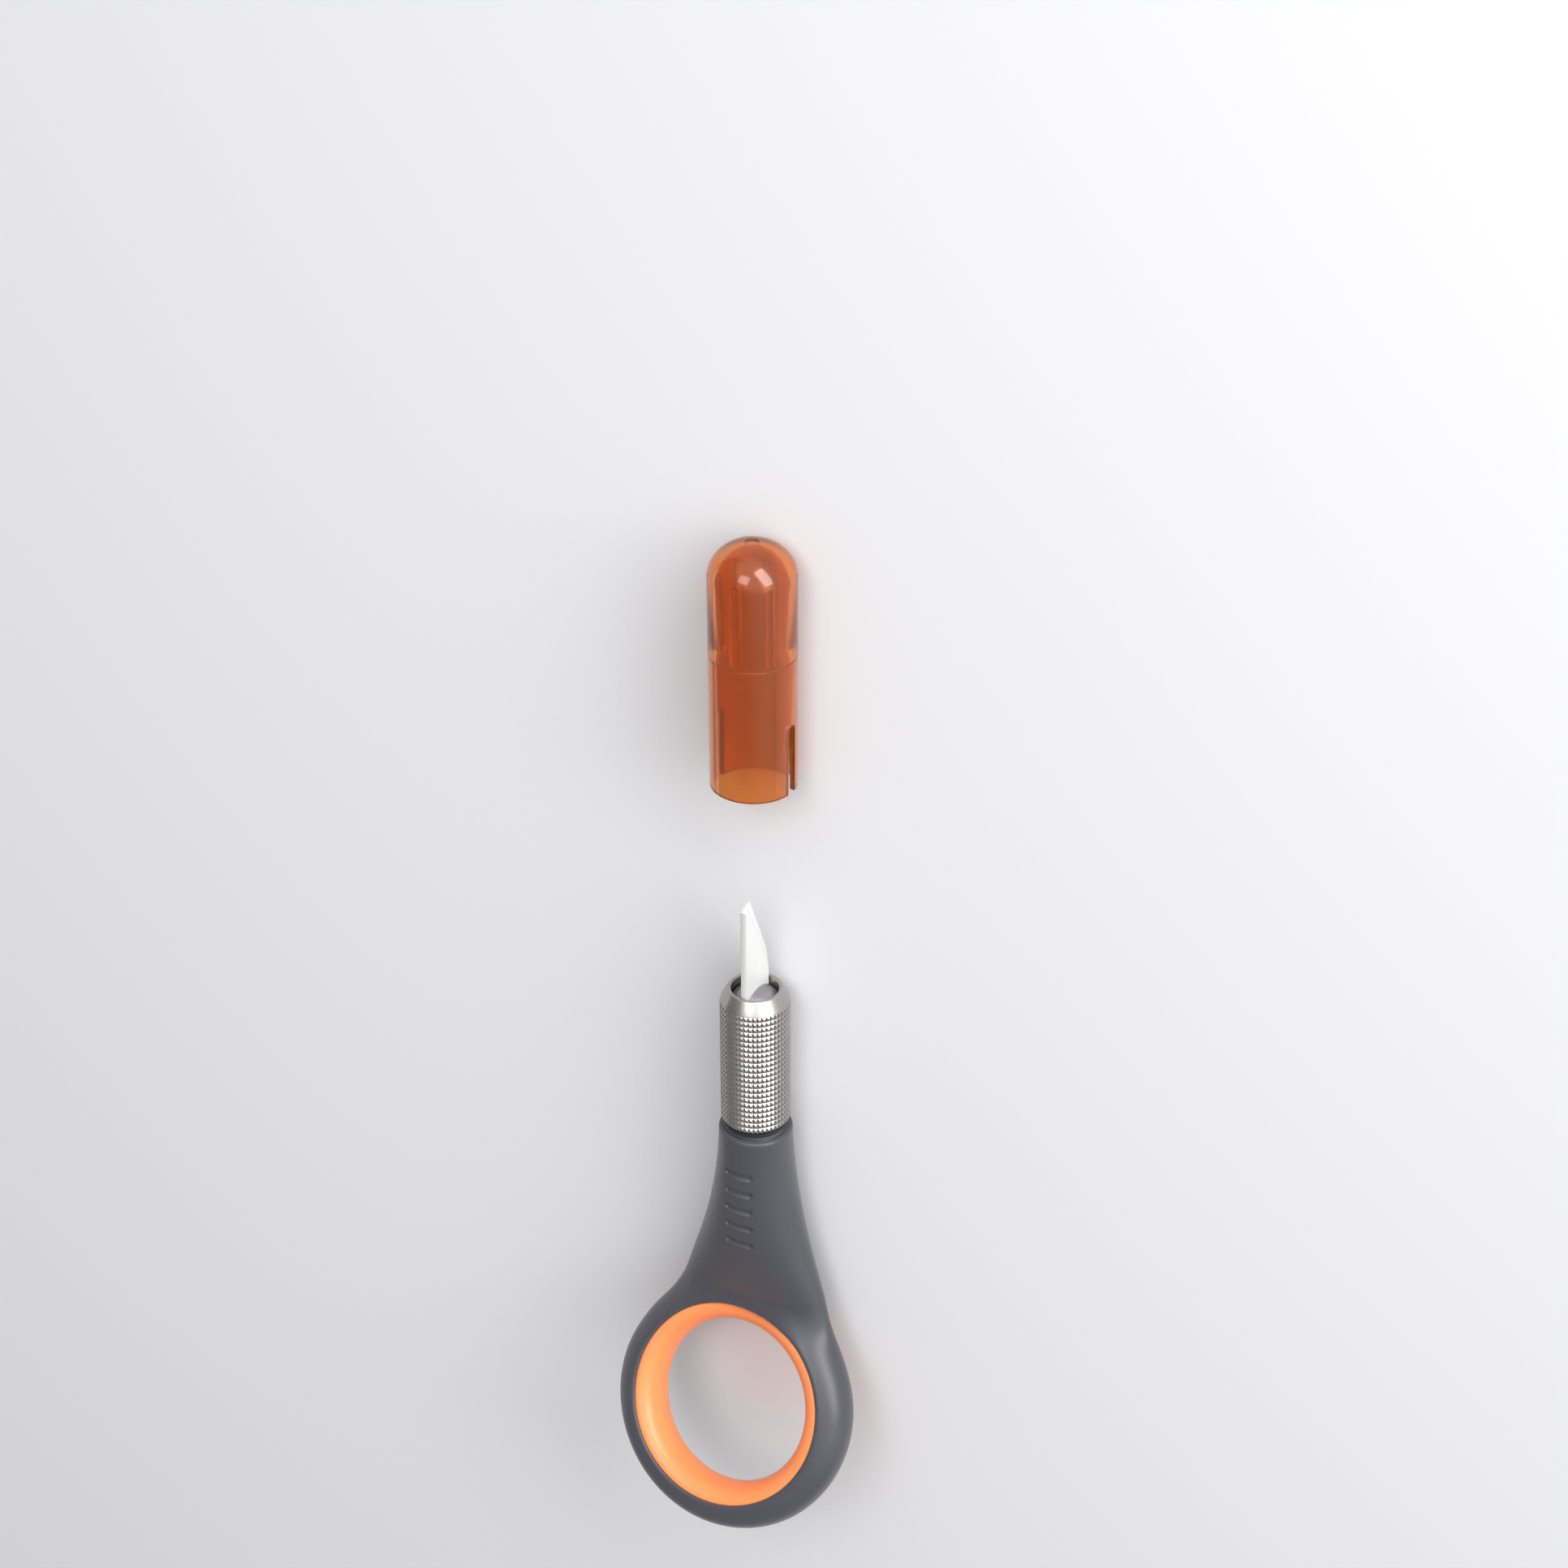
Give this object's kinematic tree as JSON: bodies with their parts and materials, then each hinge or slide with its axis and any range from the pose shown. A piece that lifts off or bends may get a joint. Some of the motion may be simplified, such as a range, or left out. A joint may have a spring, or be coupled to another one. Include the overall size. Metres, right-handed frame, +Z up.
{
  "type": "hobby craft knife",
  "caption": "Hobby craft knife with a canted finger loop, a knurled clamp collar, a split collet, a ceramic strip blade and a clear pull-off cap.",
  "frame": {"origin": "centre of the finger loop's bore", "axes": "+X along the barrel towards the blade tip, +Z up as the knife lies flat, +Y completes the right-handed frame"},
  "size_m": [0.1472, 0.036, 0.022],
  "materials": {
    "core_plastic": "moulded, hidden",
    "soft_grip": "soft-touch, matt dark slate",
    "liner_rubber": "smooth, satin orange",
    "insert_steel": "turned",
    "collet_alloy": "turned, satin",
    "washer_plastic": "matt black",
    "collar_steel": "satin nickel, knurled",
    "blade_ceramic": "ground, white",
    "clear_cap": "clear orange, polished"
  },
  "bodies": {
    "handle": {"handle_core": "core_plastic", "grip_shell": "soft_grip", "ring_liner": "liner_rubber", "threaded_insert": "insert_steel", "collet": "collet_alloy"},
    "washer": {"thrust_washer": "washer_plastic"},
    "collar": {"clamp_collar": "collar_steel"},
    "blade": {"blade": "blade_ceramic"},
    "cap": {"safety_cap": "clear_cap"}
  },
  "joints": [
    {"name": "collar_lift", "type": "slide", "parent": "handle", "child": "washer", "axis": [1, 0, 0], "range_m": [0, 0.0012]},
    {"name": "collar_turn", "type": "hinge", "parent": "washer", "child": "collar", "pos_m": [0.055, 0, -0.0062], "axis": [1, 0, 0], "range_deg": [0, 540]},
    {"name": "blade_slide", "type": "slide", "parent": "handle", "child": "blade", "axis": [1, 0, 0], "range_m": [0, 0.0165]},
    {"name": "cap_slide", "type": "slide", "parent": "blade", "child": "cap", "axis": [1, 0, 0], "range_m": [-0.0465, 0]}
  ],
  "couplings": [
    {"joint": "collar_lift", "follows": "collar_turn", "m_per_rad": 0.00011937}
  ]
}
